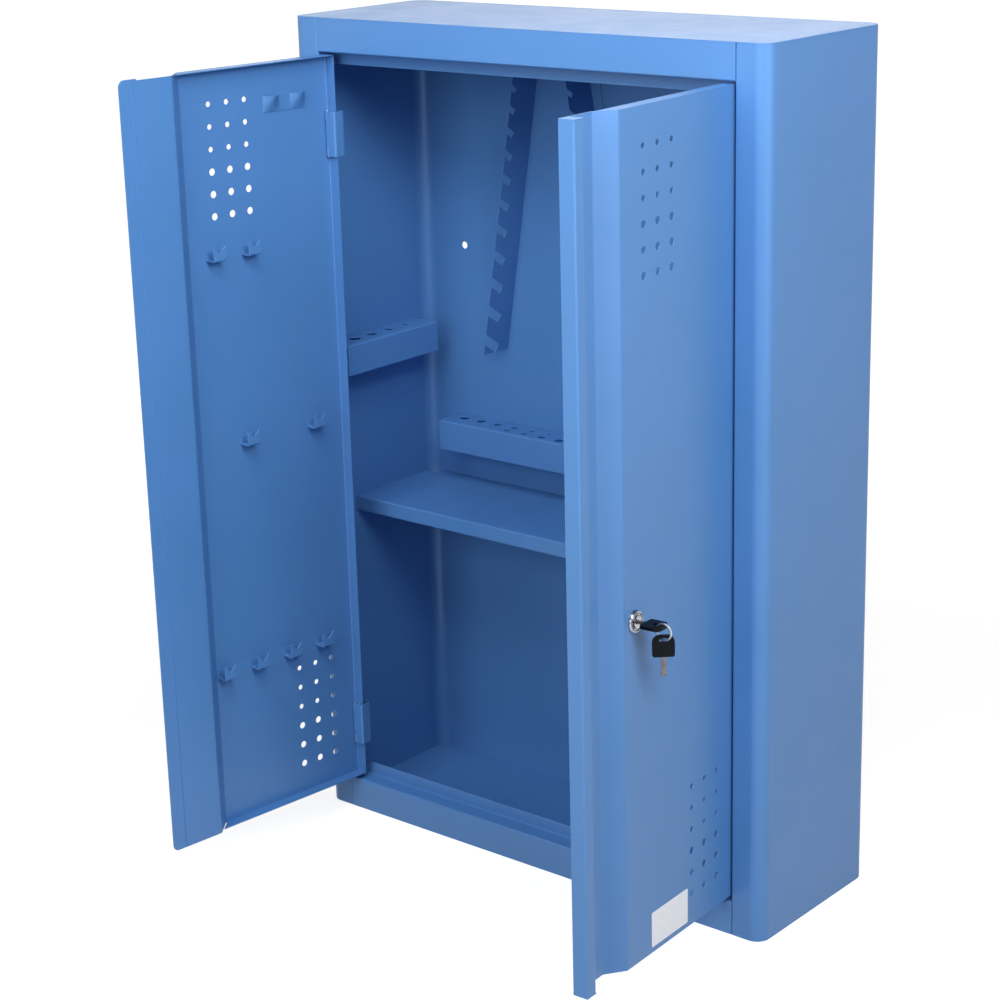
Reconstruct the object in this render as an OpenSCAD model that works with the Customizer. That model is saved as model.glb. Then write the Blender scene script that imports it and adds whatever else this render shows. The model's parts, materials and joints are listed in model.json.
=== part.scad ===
// Two-door sheet steel tool cabinet for wall or floor, shown with both doors open.
// Units are millimetres. Z is up, the front looks along -Y.
// Origin: middle of the lower back edge, on the face that goes against the wall.

/* [Casing] */
// Overall width of the casing
body_w = 600; // [480:1:900]
// Overall depth of the casing
body_d = 200; // [170:1:400]
// Overall height of the casing
body_h = 900; // [860:1:1200]
// Thickness of the folded casing sheet
sheet = 1; // [0.8:0.1:1.5]
// Outer radius of the four upright corners
corner_r = 15; // [8:0.5:22]
// Inner radius of the small bends
bend_r = 1; // [0.4:0.1:1.4]
// Width of each front post beside the doors
post_w = 36; // [28:0.5:50]
// Depth of the fold behind each post
post_return = 18; // [16:0.5:18.5]
// Height of the rail above the doors
header_h = 36; // [28:0.5:60]
// Height of the rail under the doors
sill_h = 36.5; // [28:0.5:60]
// Height of the door stops beyond the rails
stop_h = 14; // [8:0.5:24]
// Distance from the front face to the stops
stop_y = 20.2; // [20:0.1:24]
// Height of the floor sheet above the base
floor_z = 0; // [0:0.1:10]
// Radius left open at the back corners of the floor
floor_corner_r = 17; // [15:0.5:25]
// Diameter of the wall fixing holes
wall_hole_d = 8; // [5:0.5:12]
// Distance between the wall fixing holes
wall_hole_pitch = 480; // [300:1:520]
// Distance of the wall fixing holes from the top
wall_hole_drop = 272; // [200:1:340]

/* [Shelf] */
// Height of the top of the shelf
shelf_z = 354; // [250:1:380]
// Distance from the front face to the shelf
shelf_y = 64; // [30:0.5:90]
// Height of the folded front edge of the shelf
shelf_fold = 17.5; // [8:0.5:30]
// Width of the hem under the front edge of the shelf
shelf_hem = 8; // [4:0.5:12]
// Leg length of the angle brackets under the shelf
bracket_leg = 12; // [8:0.5:16]

/* [Racks] */
// Thickness of the rack sheet
rack_t = 1.2; // [1:0.1:2]
// Top height of the rack on the side wall
side_rack_z = 543; // [500:1:580]
// Depth of the rack on the side wall, from the wall
side_rack_d = 40.6; // [30:0.2:60]
// Front end of the rack on the side wall, from the front face
side_rack_y = 20; // [19.5:0.5:40]
// Length of the rack on the side wall
side_rack_l = 148; // [120:1:150]
// Height of the front face of both racks
rack_face = 34; // [20:0.5:36]
// Height of the leg that is welded to the wall
rack_leg = 16; // [8:0.5:20]
// Distance between the holes of the side rack
side_hole_pitch = 28; // [24:0.5:30]
// Largest hole of the side rack
side_hole_d = 14; // [10:0.5:18]
// How much smaller each hole of the side rack is than the one before it
side_hole_step = 2.2; // [0:0.1:2.4]
// Number of holes in the side rack
side_holes = 4; // [2:1:4]
// Top height of the rack on the back
back_rack_z = 429; // [415:1:460]
// Depth of the rack on the back
back_rack_d = 40; // [34:0.5:60]
// Left end of the rack on the back
back_rack_x = -252; // [-258:1:-240]
// Length of the rack on the back
back_rack_l = 212; // [200:1:240]
// Distance between the holes of one row
back_hole_pitch = 25; // [22:0.5:27]
// Largest hole of the back rack
back_hole_d = 12; // [8:0.5:13]
// Smallest hole of the back rack
back_hole_min = 3.5; // [2:0.5:5]
// Number of holes in each row of the back rack
back_holes = 7; // [3:1:7]
// Distance between the two rows of holes
back_row_gap = 13; // [12:0.5:16]
// Distance of the rear row of holes from the back
back_row_y = 16.4; // [12:0.2:18]
// Distance of the first hole from the end of the rack
back_edge = 18.6; // [10:0.2:24]
// Depth of the spanner racks
spanner_d = 42.5; // [34:0.5:50]
// Distance of the spanner racks from the top
spanner_drop = 58; // [55:1:120]
// Height of the spanner racks
spanner_h = 326; // [280:1:360]
// Lean of each spanner rack away from upright
spanner_lean = 9.3; // [4:0.1:12]
// Position of the middle between the spanner racks
spanner_mid_x = -93; // [-140:1:140]
// Distance between the spanner racks at their tops
spanner_gap = 66; // [60:1:120]
// Width of the fixing flange of the spanner racks
spanner_flange = 14; // [8:0.5:20]
// Depth of the topmost spanner slot
slot_min = 9.5; // [6:0.5:14]
// Depth of the lowest spanner slot
slot_max = 25; // [15:0.5:28]

/* [Doors] */
// How far the left door stands open in the drawn state
left_open = 96; // [0:1:100]
// How far the right door stands open in the drawn state
right_open = 93; // [0:1:100]
// Gap between a door and the post and rail beside and above it
door_gap = 2.5; // [2.4:0.1:4]
// Gap between the doors and the rail under them
low_gap = 6; // [2.4:0.1:7]
// Thickness of the door sheet
door_t = 1; // [0.8:0.1:1.2]
// Depth of the right door's strip and recess
right_depth = 16.2; // [14:0.1:16.4]
// Depth of the left door's recess
left_depth = 18.8; // [18.4:0.1:19]
// Depth of the folds at the hinge edge and at both ends of a door
fold_d = 14; // [10:0.5:14]
// Width of the raised strip at the meeting edge
strip_w = 14.5; // [10:0.5:20]
// Distance from the middle to where the recess starts to rise
recess_x = 48; // [36:0.5:52]
// Width of the slanted wall of the recess
slant_w = 19.5; // [12:0.5:24]
// How far the left door reaches behind the right one
lip_w = 15.5; // [8:0.5:20]
// Thickness of the overlap lip
lip_t = 1.2; // [0.8:0.1:1.2]
// Distance between the ventilation holes
vent_pitch = 23; // [18:0.5:24]
// Diameter of the small ventilation holes
vent_small = 5.8; // [3:0.2:8]
// Diameter of the large ventilation holes
vent_large = 7.6; // [5:0.2:10]
// Distance of the top row of holes from the top of the door
vent_top_drop = 35.5; // [30:0.5:90]
// Height of the bottom row of holes above the lower edge of the door
vent_low_rise = 34; // [30:0.5:60]
// Distance of the upper holes from the slanted wall
vent_top_in = 36.5; // [20:0.5:50]
// Distance of the lower holes from the hinge edge
vent_low_in = 33; // [30:0.5:60]

/* [Hinges] */
// Distance of the hinge pin from the door edge
pin_in = 3.7; // [3.6:0.1:3.8]
// Distance of the hinge pin from the front face
pin_deep = 3.7; // [3.7:0.1:3.8]
// Diameter of the hinge pin
pin_d = 2.6; // [2:0.1:2.8]
// Clearance around the hinge pin
pin_clear = 0.05; // [0.02:0.01:0.1]
// Outer diameter of the hinge knuckles
knuckle_d = 4.6; // [4.4:0.1:4.6]
// Height of one hinge
hinge_h = 47.5; // [40:0.5:60]
// Distance of the upper hinges from the top of the door
hinge_top_drop = 59.5; // [30:0.5:110]
// Distance of the lower hinges from the lower edge of the door
hinge_low_rise = 38; // [22:0.5:70]
// Thickness of the hinge leaves
leaf_t = 1.2; // [1:0.1:1.2]
// Depth of the hinge leaf on the door's fold, from the front face
leaf_d = 11; // [10:0.5:11]
// Reach of the casing's hinge neck around the door's fold
neck_r = 12.5; // [12.5:0.1:13]

/* [Hooks] */
// Width of one tool hook
hook_w = 16; // [10:0.5:22]
// How far the hooks stand off the door sheet
hook_out = 14; // [10:0.5:16]
// Height of the hook's foot on the door sheet
hook_foot = 10; // [6:0.5:14]
// Width of the notch in the hook's end
hook_notch = 12; // [4:0.5:12]
// Height of the upturned end of the hooks
hook_up = 16; // [10:0.5:17]
// Distance between neighbouring hooks
hook_pitch = 46; // [40:1:50]
// Distance of the upper hooks from the top of the door
hook_top_drop = 195; // [165:0.5:220]
// Distance of the first upper hook from the slanted wall
hook_top_in = 29.5; // [15:0.5:60]
// Height of the middle hooks above the base
hook_mid_z = 464.5; // [430:0.5:500]
// Distance of the first middle hook from the slanted wall
hook_mid_in = 59.5; // [15:0.5:70]
// Height of the lower hooks above the base
hook_low_z = 212; // [208:1:230]
// Distance of the first lower hook from the slanted wall
hook_low_in = 9.5; // [9:0.5:20]
// Width of the loop bracket
loop_w = 56; // [50:1:62]
// Height of the loop bracket
loop_h = 17; // [10:0.5:20]
// How far the loop bracket stands off the door sheet
loop_out = 11; // [8:0.5:13]
// Distance of the loop bracket from the hinge edge
loop_in = 31.5; // [26:0.5:40]
// Distance of the loop bracket from the top of the door
loop_drop = 35; // [20:0.5:46]
// Width of the tab in the middle of the loop bracket
loop_tab_w = 15; // [8:0.5:18]
// Height of the tab above the loop bracket
loop_tab_h = 4.5; // [3:0.5:8]

/* [Lock] */
// Distance of the lock axis from the slanted wall
lock_in = 17.5; // [17.5:0.5:40]
// Height of the lock
lock_z = 392.5; // [360:0.5:520]
// Diameter of the lock bezel
bezel_d = 22; // [21:0.5:30]
// Thickness of the lock bezel
bezel_t = 3; // [2:0.1:4]
// Diameter of the lock barrel
barrel_d = 18; // [16:0.1:19]
// Clearance of the barrel in the door
barrel_clear = 0.1; // [0.05:0.05:0.3]
// Diameter of the turning plug
plug_d = 12; // [11:0.1:13]
// Clearance around the turning plug
plug_clear = 0.05; // [0.02:0.01:0.1]
// How far the locked cam reaches behind the lip
cam_hold = 8; // [4:0.5:12]
// Width of the cam
cam_w = 12; // [10:0.5:16]
// Thickness of the cam
cam_t = 2; // [1.5:0.1:2.5]
// Width of the key blade
blade_w = 7; // [6:0.1:7.5]
// Thickness of the key blade
blade_t = 2; // [1.5:0.1:2.4]
// Clearance of the key blade in the plug
blade_clear = 0.1; // [0.05:0.01:0.15]
// Width of the key head
head_w = 21; // [18:0.5:26]
// Length of the key head
head_l = 22.5; // [22:0.5:26]
// Thickness of the key head
head_t = 3.6; // [3:0.1:3.8]
// Mean radius of the key ring
ring_r = 7.9; // [7.9:0.1:8.1]
// Wire diameter of the key ring
wire_d = 1.8; // [1.4:0.1:1.8]
// Turn of the spare key on the ring
spare_turn = -50; // [-60:1:-20]
// Gap between the spare key and the ring
spare_seat = 1.9; // [1.8:0.1:2.2]
// Width of the blank label
label_w = 64.5; // [40:0.5:68]
// Height of the blank label
label_h = 37; // [20:1:50]
// Distance of the label from the slanted wall
label_in = 42.5; // [5:0.5:46]
// Distance of the label from the lower edge of the door
label_rise = 5.5; // [4:0.5:30]

/* [View] */
// Which sub-part to draw

/* [Hidden] */
$fn = 64;
half_w = body_w / 2;
door_edge = half_w - post_w - door_gap;
pin_x = door_edge - pin_in;
door_low = sill_h + low_gap;
door_top = body_h - header_h - door_gap;
door_h = door_top - door_low;
slant_x = recess_x + slant_w;
hinge_top_z = door_top - hinge_top_drop - hinge_h;
hinge_low_z = door_low + hinge_low_rise;
vent_rows = 6;
vent_cols = 3;
vent_top_z = door_top - vent_top_drop;
vent_low_z = door_low + vent_low_rise + (vent_rows - 1) * vent_pitch;
vent_top_x = slant_x + vent_top_in;
vent_low_x = door_edge - vent_low_in - (vent_cols - 1) * vent_pitch;
wall_hole_z = body_h - wall_hole_drop;
spanner_top = body_h - spanner_drop;
hook_top_z = door_top - hook_top_drop;
loop_x = door_edge - loop_in - loop_w;
loop_z = door_top - loop_drop;
lock_x = slant_x + lock_in;
cam_l = lock_x - lip_w + cam_hold;
door_mid = 0.5;
slant_r = 4;
label_t = 0.2;
in_x = half_w - sheet;
in_y = body_d - sheet;
kn_gap = 0.4;
kn_mid = hinge_h * 0.6;
kn_low = (hinge_h - kn_mid) / 2;
eps = 0.01;
spanner_len = spanner_h / cos(spanner_lean);
slots = 11;
back_shift = 0.97;
barrel_l = 17;
cam_y = 18.4;
head_y = -10;
bridge = 2.8;
bar_y = head_y - head_l + bridge / 2;
ring_seat = 0.8;
ring_drop = ring_r - wire_d / 2 - head_t / 2 - ring_seat;
spare_drop = 18;
paint = [0.29, 0.48, 0.78];
steel = [0.75, 0.76, 0.78];
black = [0.08, 0.08, 0.09];
paper = [0.93, 0.93, 0.95];

// Moves a shape drawn from the front face to its place in front of the wall.
module placed() {
  translate([0, -body_d, 0]) children();
}

// Swings a shape drawn on the closed right door.
module on_right() {
  placed()
    translate([pin_x, pin_deep, 0])
      rotate([0, 0, right_open])
        translate([-pin_x, -pin_deep, 0])
          children();
}

// Swings a shape drawn on the closed left door, mirrored from the right side.
module on_left() {
  placed()
    translate([-pin_x, pin_deep, 0])
      rotate([0, 0, -left_open])
        translate([pin_x, -pin_deep, 0])
          mirror([1, 0, 0])
            children();
}

// Puts a shape drawn around the lock axis on the right door.
module on_plug() {
  on_right()
    translate([lock_x, 0, lock_z])
      children();
}

// Unit vector along v.
function unit(v) = v / norm(v);

// Cross product of two plane vectors, above zero for a left turn.
function turn(a, b) = a[0] * b[1] - a[1] * b[0];

// Left-hand normal of the stretch from p to q.
function left_of(p, q) = [-unit(q - p)[1], unit(q - p)[0]];

// Point number i of a path that runs beside pts, t to its left.
function beside(pts, i, t) =
  i == 0 ? pts[0] + t * left_of(pts[0], pts[1]) :
  i == len(pts) - 1 ? pts[i] + t * left_of(pts[i - 1], pts[i]) :
  let (n0 = left_of(pts[i - 1], pts[i]), n1 = left_of(pts[i], pts[i + 1]))
    pts[i] + t * (n0 + n1) / (1 + n0 * n1);

// Points of an arc of radius r that rounds the corner q between p and s.
function bend(p, q, s, r) =
  let (
    a = unit(p - q),
    b = unit(s - q),
    half = acos(a * b) / 2,
    mid = q + unit(a + b) * r / sin(half),
    from = q + a * r / tan(half) - mid,
    sweep = (180 - 2 * half) * (turn(q - p, s - q) > 0 ? 1 : -1),
    steps = ceil(2 + abs(sweep) * r / 70)
  )
    [for (k = [0:steps])
      let (c = cos(sweep * k / steps), d = sin(sweep * k / steps))
        mid + [from[0] * c - from[1] * d, from[0] * d + from[1] * c]];

// A path with its corners rounded: radii holds one radius for each inner point.
function rounded(pts, radii) = [
  pts[0],
  for (i = [1:len(pts) - 2])
    each bend(pts[i - 1], pts[i], pts[i + 1], radii[i - 1]),
  pts[len(pts) - 1]];

// Cross section of a bent sheet: pts runs along one face, the sheet lies to its left.
module folded(pts, t, radii) {
  other = [for (i = [0:len(pts) - 1]) beside(pts, i, t)];
  lefts = [for (i = [1:len(pts) - 2]) turn(pts[i] - pts[i - 1], pts[i + 1] - pts[i]) > 0];
  near = rounded(pts, [for (i = [0:len(radii) - 1]) radii[i] + (lefts[i] ? t : 0)]);
  far = rounded(other, [for (i = [0:len(radii) - 1]) radii[i] + (lefts[i] ? 0 : t)]);
  polygon(concat(near, [for (i = [len(far) - 1:-1:0]) far[i]]));
}

// Side wall with front post and both rounded corners.
module wall_shape() {
  x0 = half_w - post_w;
  wide = corner_r - sheet;
  folded([[x0, post_return], [x0, 0], [half_w, 0], [half_w, body_d], [half_w - corner_r, body_d]],
    sheet, [bend_r, wide, wide]);
}

module left_wall() {
  color(paint)
    placed()
      mirror([1, 0, 0])
        linear_extrude(body_h - sheet)
          wall_shape();
}

module right_wall() {
  color(paint)
    placed()
      linear_extrude(body_h - sheet)
        wall_shape();
}

module back_panel() {
  color(paint)
    placed()
      difference() {
        translate([-half_w + corner_r, in_y, 0])
          cube([body_w - 2 * corner_r, sheet, body_h - sheet]);
        for (s = [-1, 1])
          translate([s * wall_hole_pitch / 2, body_d + 1, wall_hole_z])
            rotate([90, 0, 0])
              cylinder(d = wall_hole_d, h = sheet + 2);
      }
}

// Outline of the casing seen from above.
module plan() {
  union() {
    translate([-half_w + corner_r, 0])
      square([body_w - 2 * corner_r, body_d]);
    translate([-half_w, corner_r])
      square([body_w, body_d - 2 * corner_r]);
    for (sx = [-1, 1])
      for (cy = [corner_r, body_d - corner_r])
        translate([sx * (half_w - corner_r), cy])
          circle(r = corner_r);
  }
}

module top_panel() {
  color(paint)
    placed()
      translate([0, 0, body_h - sheet])
        linear_extrude(sheet)
          plan();
}

// Rail section: stop, ledge and face, drawn upward from the base.
module rail_shape(h) {
  folded([[stop_y, h + stop_h], [stop_y, h], [0, h], [0, 0]], sheet, [bend_r, bend_r]);
}

module rail(h) {
  rotate([90, 0, 90])
    linear_extrude(2 * (half_w - post_w))
      rail_shape(h);
}

module header_rail() {
  color(paint)
    placed()
      translate([-(half_w - post_w), 0, body_h - sheet])
        mirror([0, 0, 1])
          rail(header_h - sheet);
}

module sill_rail() {
  color(paint)
    placed()
      translate([-(half_w - post_w), 0, 0])
        rail(sill_h);
}

module floor_panel() {
  color(paint)
    placed()
      translate([0, 0, floor_z])
        linear_extrude(sheet)
          difference() {
            union() {
              translate([-in_x, post_return])
                square([2 * in_x, in_y - post_return]);
              translate([-half_w + post_w, sheet])
                square([2 * (half_w - post_w), post_return]);
            }
            for (s = [-1, 1])
              difference() {
                translate([s * (in_x - floor_corner_r / 2 + 0.5), in_y - floor_corner_r / 2 + 0.5])
                  square(floor_corner_r + 1, center = true);
                translate([s * (in_x - floor_corner_r), in_y - floor_corner_r])
                  circle(r = floor_corner_r);
              }
          }
}

module shelf() {
  color(paint)
    placed()
      intersection() {
        translate([-in_x, 0, 0])
          rotate([90, 0, 90])
            linear_extrude(2 * in_x)
              folded([[in_y, shelf_z], [shelf_y, shelf_z], [shelf_y, shelf_z - shelf_fold],
                [shelf_y + shelf_hem, shelf_z - shelf_fold]], sheet, [bend_r, bend_r]);
        translate([0, 0, shelf_z - shelf_fold - 1])
          linear_extrude(shelf_fold + 2)
            union() {
              translate([-in_x, 0])
                square([2 * in_x, body_d - corner_r]);
              translate([-half_w + corner_r, 0])
                square([body_w - 2 * corner_r, body_d]);
            }
      }
}

// Angle bracket under the right end of the shelf.
module bracket() {
  z0 = shelf_z - sheet;
  y0 = shelf_y + shelf_hem + 4;
  translate([0, body_d - corner_r - 2, 0])
    rotate([90, 0, 0])
      linear_extrude(body_d - corner_r - 2 - y0)
        folded([[in_x, z0 - bracket_leg], [in_x, z0], [in_x - bracket_leg, z0]], sheet, [bend_r]);
}

module shelf_bracket_left() {
  color(paint)
    placed()
      mirror([1, 0, 0])
        bracket();
}

module shelf_bracket_right() {
  color(paint)
    placed()
      bracket();
}

module side_tool_rack() {
  low = side_rack_z - rack_face;
  mid_y = side_rack_y + side_rack_l / 2;
  color(paint)
    placed()
      difference() {
        translate([-in_x, side_rack_y + side_rack_l, 0])
          rotate([90, 0, 0])
            linear_extrude(side_rack_l)
              folded([[side_rack_d, low], [side_rack_d, side_rack_z], [0, side_rack_z],
                [0, side_rack_z - rack_leg]], rack_t, [bend_r, bend_r]);
        for (i = [0:side_holes - 1])
          translate([-in_x + side_rack_d / 2, mid_y + side_hole_pitch * (i - (side_holes - 1) / 2),
            side_rack_z - rack_t - 1])
            cylinder(d = side_hole_d - i * side_hole_step, h = rack_t + 2);
      }
}

// Cutter for one hole of the back rack, at the rack's left end and top.
module rack_hole(x, y, d) {
  translate([back_rack_x + back_edge + x, in_y - back_row_y - y, back_rack_z - rack_t - 1])
    cylinder(d = d, h = rack_t + 2);
}

module back_tool_rack() {
  step = (back_hole_d - back_hole_min) / (back_holes - 1);
  color(paint)
    placed()
      difference() {
        translate([back_rack_x, in_y, back_rack_z])
          rotate([90, 0, 90])
            linear_extrude(back_rack_l)
              folded([[0, -rack_leg], [0, 0], [-back_rack_d, 0], [-back_rack_d, -rack_face]],
                rack_t, [bend_r, bend_r]);
        for (i = [0:back_holes - 1]) {
          rack_hole(i * back_hole_pitch, 0, back_hole_d - i * step);
          rack_hole((i + back_shift) * back_hole_pitch, back_row_gap, back_hole_min + i * step);
        }
      }
}

// Toothed plate of a spanner rack: x runs down the rack, y out from the back.
module tooth_shape() {
  difference() {
    square([spanner_len, spanner_d]);
    for (i = [0:slots - 1]) {
      k = i / (slots - 1);
      deep = slot_min + k * (slot_max - slot_min);
      pos = (0.066 + 0.66 * k + 0.2 * k * k) * spanner_len;
      translate([pos, spanner_d])
        rotate(32)
          translate([0, -deep * 1.18])
            square([5.5 + 5 * k, deep * 1.18 + 12]);
    }
  }
}

// One spanner rack leaning to the right, its fold line starting at the top.
module spanner_rack() {
  rotate([0, 90 - spanner_lean, 0]) {
    rotate([0, 0, 180])
      mirror([1, 0, 0])
        linear_extrude(rack_t)
          tooth_shape();
    translate([0, -rack_t, 0])
      cube([spanner_len, rack_t, spanner_flange]);
  }
}

module spanner_rack_right() {
  color(paint)
    placed()
      translate([spanner_mid_x + spanner_gap / 2, in_y, spanner_top])
        spanner_rack();
}

module spanner_rack_left() {
  color(paint)
    placed()
      translate([spanner_mid_x - spanner_gap / 2, in_y, spanner_top])
        mirror([1, 0, 0])
          spanner_rack();
}

// Casing side of a hinge: a neck from the right post, around the fold of the closed door.
module neck_shape(start) {
  back = pin_deep + neck_r;
  folded([[half_w - post_w, back - 8], [half_w - post_w, back], [pin_x - neck_r, back],
    [pin_x - neck_r, pin_deep - knuckle_d / 2], [pin_x - start, pin_deep - knuckle_d / 2]],
    leaf_t, [bend_r, bend_r, bend_r]);
}

module frame_hinge(z0) {
  difference() {
    union() {
      translate([pin_x, pin_deep, z0 + kn_low + kn_gap])
        cylinder(d = knuckle_d, h = kn_mid - 2 * kn_gap);
      translate([0, 0, z0 + kn_low + kn_gap])
        linear_extrude(kn_mid - 2 * kn_gap)
          neck_shape(0);
      translate([0, 0, z0])
        linear_extrude(hinge_h)
          neck_shape(knuckle_d / 2 + kn_gap);
    }
    pin_bore(z0);
  }
}

// Cutter for the bore of a hinge pin.
module pin_bore(z0) {
  translate([pin_x, pin_deep, z0 - 1])
    cylinder(d = pin_d + 2 * pin_clear, h = hinge_h + 2);
}

// Door side of a hinge, on the fold of the right door.
module door_hinge(z0) {
  x0 = door_edge - door_t - leaf_t;
  free = knuckle_d + kn_gap * 1.5;
  difference() {
    union() {
      for (z1 = [0, kn_low + kn_mid]) {
        translate([pin_x, pin_deep, z0 + z1])
          cylinder(d = knuckle_d, h = kn_low);
        translate([x0, pin_deep, z0 + z1])
          cube([leaf_t, leaf_d - pin_deep, kn_low]);
      }
      translate([x0, pin_deep + free, z0])
        cube([leaf_t, leaf_d - pin_deep - free, hinge_h]);
    }
    pin_bore(z0);
  }
}

module hinge_pin(z0) {
  translate([pin_x, pin_deep, z0 - 1])
    cylinder(d = pin_d, h = hinge_h + 2);
}

module frame_hinge_upper_left() {
  color(paint) placed() mirror([1, 0, 0]) frame_hinge(hinge_top_z);
}

module frame_hinge_lower_left() {
  color(paint) placed() mirror([1, 0, 0]) frame_hinge(hinge_low_z);
}

module frame_hinge_upper_right() {
  color(paint) placed() frame_hinge(hinge_top_z);
}

module frame_hinge_lower_right() {
  color(paint) placed() frame_hinge(hinge_low_z);
}

module hinge_pin_upper_left() {
  color(steel) placed() mirror([1, 0, 0]) hinge_pin(hinge_top_z);
}

module hinge_pin_lower_left() {
  color(steel) placed() mirror([1, 0, 0]) hinge_pin(hinge_low_z);
}

module hinge_pin_upper_right() {
  color(steel) placed() hinge_pin(hinge_top_z);
}

module hinge_pin_lower_right() {
  color(steel) placed() hinge_pin(hinge_low_z);
}

module door_hinge_upper_left() {
  color(paint) on_left() door_hinge(hinge_top_z);
}

module door_hinge_lower_left() {
  color(paint) on_left() door_hinge(hinge_low_z);
}

module door_hinge_upper_right() {
  color(paint) on_right() door_hinge(hinge_top_z);
}

module door_hinge_lower_right() {
  color(paint) on_right() door_hinge(hinge_low_z);
}

// Bent door section seen from above, from the recess floor to the hinge fold.
function door_path(deep, start) = [
  each start,
  [recess_x, deep - door_t],
  [slant_x, 0],
  [door_edge, 0],
  [door_edge, fold_d]];

module left_section() {
  folded(door_path(left_depth, [[door_mid * 2, left_depth - door_t]]),
    door_t, [slant_r, slant_r, bend_r]);
}

// The right door starts with the raised strip along its free edge.
module right_section() {
  folded(door_path(right_depth, [[door_mid, right_depth], [door_mid, 0],
    [door_mid + strip_w, 0], [door_mid + strip_w, right_depth - door_t]]),
    door_t, [bend_r, bend_r, bend_r, slant_r, slant_r, bend_r]);
}

// End fold of a door, with a narrow slot beside the slanted wall.
module fold_shape(deep) {
  run = slant_w / (deep - door_t);
  inner = slant_x + 3;
  polygon([[slant_x + 2.5, 0], [door_edge - bend_r, 0], [door_edge, bend_r], [door_edge, fold_d],
    [inner - run * fold_d, fold_d], [inner - run * door_t, door_t]]);
}

// Ventilation holes of one group, drawn as cutters through the face.
module vents(x0, z0) {
  for (i = [0:vent_cols - 1])
    for (j = [0:vent_rows - 1])
      translate([x0 + i * vent_pitch, -1, z0 - j * vent_pitch])
        rotate([-90, 0, 0])
          cylinder(d = j < vent_rows / 2 ? vent_small : vent_large, h = door_t + 2);
}

module left_door_panel() {
  color(paint)
    on_left()
      difference() {
        translate([0, 0, door_low])
          union() {
            linear_extrude(door_h)
              left_section();
            linear_extrude(door_t)
              fold_shape(left_depth);
            translate([0, 0, door_h - door_t])
              linear_extrude(door_t)
                fold_shape(left_depth);
          }
        vents(vent_top_x, vent_top_z);
        vents(vent_low_x, vent_low_z);
      }
}

// Outline of the overlap lip, with two rounded corners at its free edge.
module lip_shape() {
  r = 7;
  tall = door_h + 2;
  union() {
    translate([r - lip_w, 0])
      square([lip_w - r + 6, tall]);
    translate([-lip_w, r])
      square([r + 1, tall - 2 * r]);
    for (z1 = [r, tall - r])
      translate([r - lip_w, z1])
        circle(r = r);
  }
}

// Overlap lip on the outer side of the left recess floor.
module left_door_lip() {
  color(paint)
    on_left()
      translate([0, left_depth - door_t, door_low - 0.6])
        rotate([90, 0, 0])
          linear_extrude(lip_t)
            lip_shape();
}

module right_door_panel() {
  color(paint)
    on_right()
      difference() {
        translate([0, 0, door_low])
          union() {
            linear_extrude(door_h)
              right_section();
            for (z1 = [0, door_h - door_t])
              translate([0, 0, z1])
                linear_extrude(door_t)
                  union() {
                    fold_shape(right_depth);
                    translate([door_mid, 0])
                      square([strip_w, right_depth]);
                  }
          }
        vents(vent_top_x, vent_top_z);
        vents(vent_low_x, vent_low_z);
        translate([lock_x, -1, lock_z])
          rotate([-90, 0, 0])
            cylinder(d = barrel_d + 2 * barrel_clear, h = door_t + 2);
      }
}

// Tool hook: foot on the door sheet, arm, and an upturned end with a notch.
module hook(x, z) {
  on_left()
    translate([x, door_t, z])
      difference() {
        translate([-hook_w / 2, 0, 0])
          rotate([90, 0, 90])
            linear_extrude(hook_w)
              folded([[0, hook_foot], [0, 0], [hook_out, 0], [hook_out, hook_up]], rack_t, [bend_r, bend_r]);
        translate([0, hook_out, hook_up + hook_notch / 8])
          rotate([0, 45, 0])
            cube([hook_notch, 4 * rack_t, hook_notch], center = true);
      }
}

module hook_upper_1() {
  color(paint) hook(slant_x + hook_top_in, hook_top_z);
}

module hook_upper_2() {
  color(paint) hook(slant_x + hook_top_in + hook_pitch, hook_top_z);
}

module hook_middle_1() {
  color(paint) hook(slant_x + hook_mid_in, hook_mid_z);
}

module hook_middle_2() {
  color(paint) hook(slant_x + hook_mid_in + 2 * hook_pitch, hook_mid_z);
}

module hook_lower_1() {
  color(paint) hook(slant_x + hook_low_in, hook_low_z);
}

module hook_lower_2() {
  color(paint) hook(slant_x + hook_low_in + hook_pitch, hook_low_z);
}

module hook_lower_3() {
  color(paint) hook(slant_x + hook_low_in + 2 * hook_pitch, hook_low_z);
}

module hook_lower_4() {
  color(paint) hook(slant_x + hook_low_in + 3 * hook_pitch, hook_low_z);
}

// Strap with two tool loops near the top of the left door, held by a tab in its middle.
module loop_bracket() {
  back = rack_t;
  color(paint)
    on_left()
      translate([loop_x, door_t, loop_z])
        union() {
          translate([0, 0, -loop_h])
            linear_extrude(loop_h)
              folded([[loop_w, 0], [loop_w, loop_out], [0, loop_out], [0, 0]], rack_t, [bend_r, bend_r]);
          translate([(loop_w - loop_tab_w) / 2, 0, 0])
            rotate([90, 0, 90])
              linear_extrude(loop_tab_w)
                folded([[loop_out, 0], [back, 0], [back, loop_tab_h]], rack_t, [bend_r]);
        }
}

module lock_housing() {
  color(steel)
    on_right()
      translate([lock_x, 0, lock_z])
        rotate([90, 0, 0])
          difference() {
            union() {
              translate([0, 0, 0])
                cylinder(d = bezel_d, h = bezel_t);
              translate([0, 0, -barrel_l])
                cylinder(d = barrel_d, h = barrel_l + eps);
            }
            translate([0, 0, -barrel_l - 1])
              cylinder(d = plug_d + 2 * plug_clear, h = barrel_l + bezel_t + 2);
          }
}

module lock_nut() {
  color(steel)
    on_right()
      translate([lock_x, door_t, lock_z])
        rotate([-90, 0, 0])
          difference() {
            cylinder(d = barrel_d + 9, h = 4, $fn = 6);
            translate([0, 0, -1])
              cylinder(d = barrel_d + 2 * barrel_clear, h = 6);
          }
}

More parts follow.
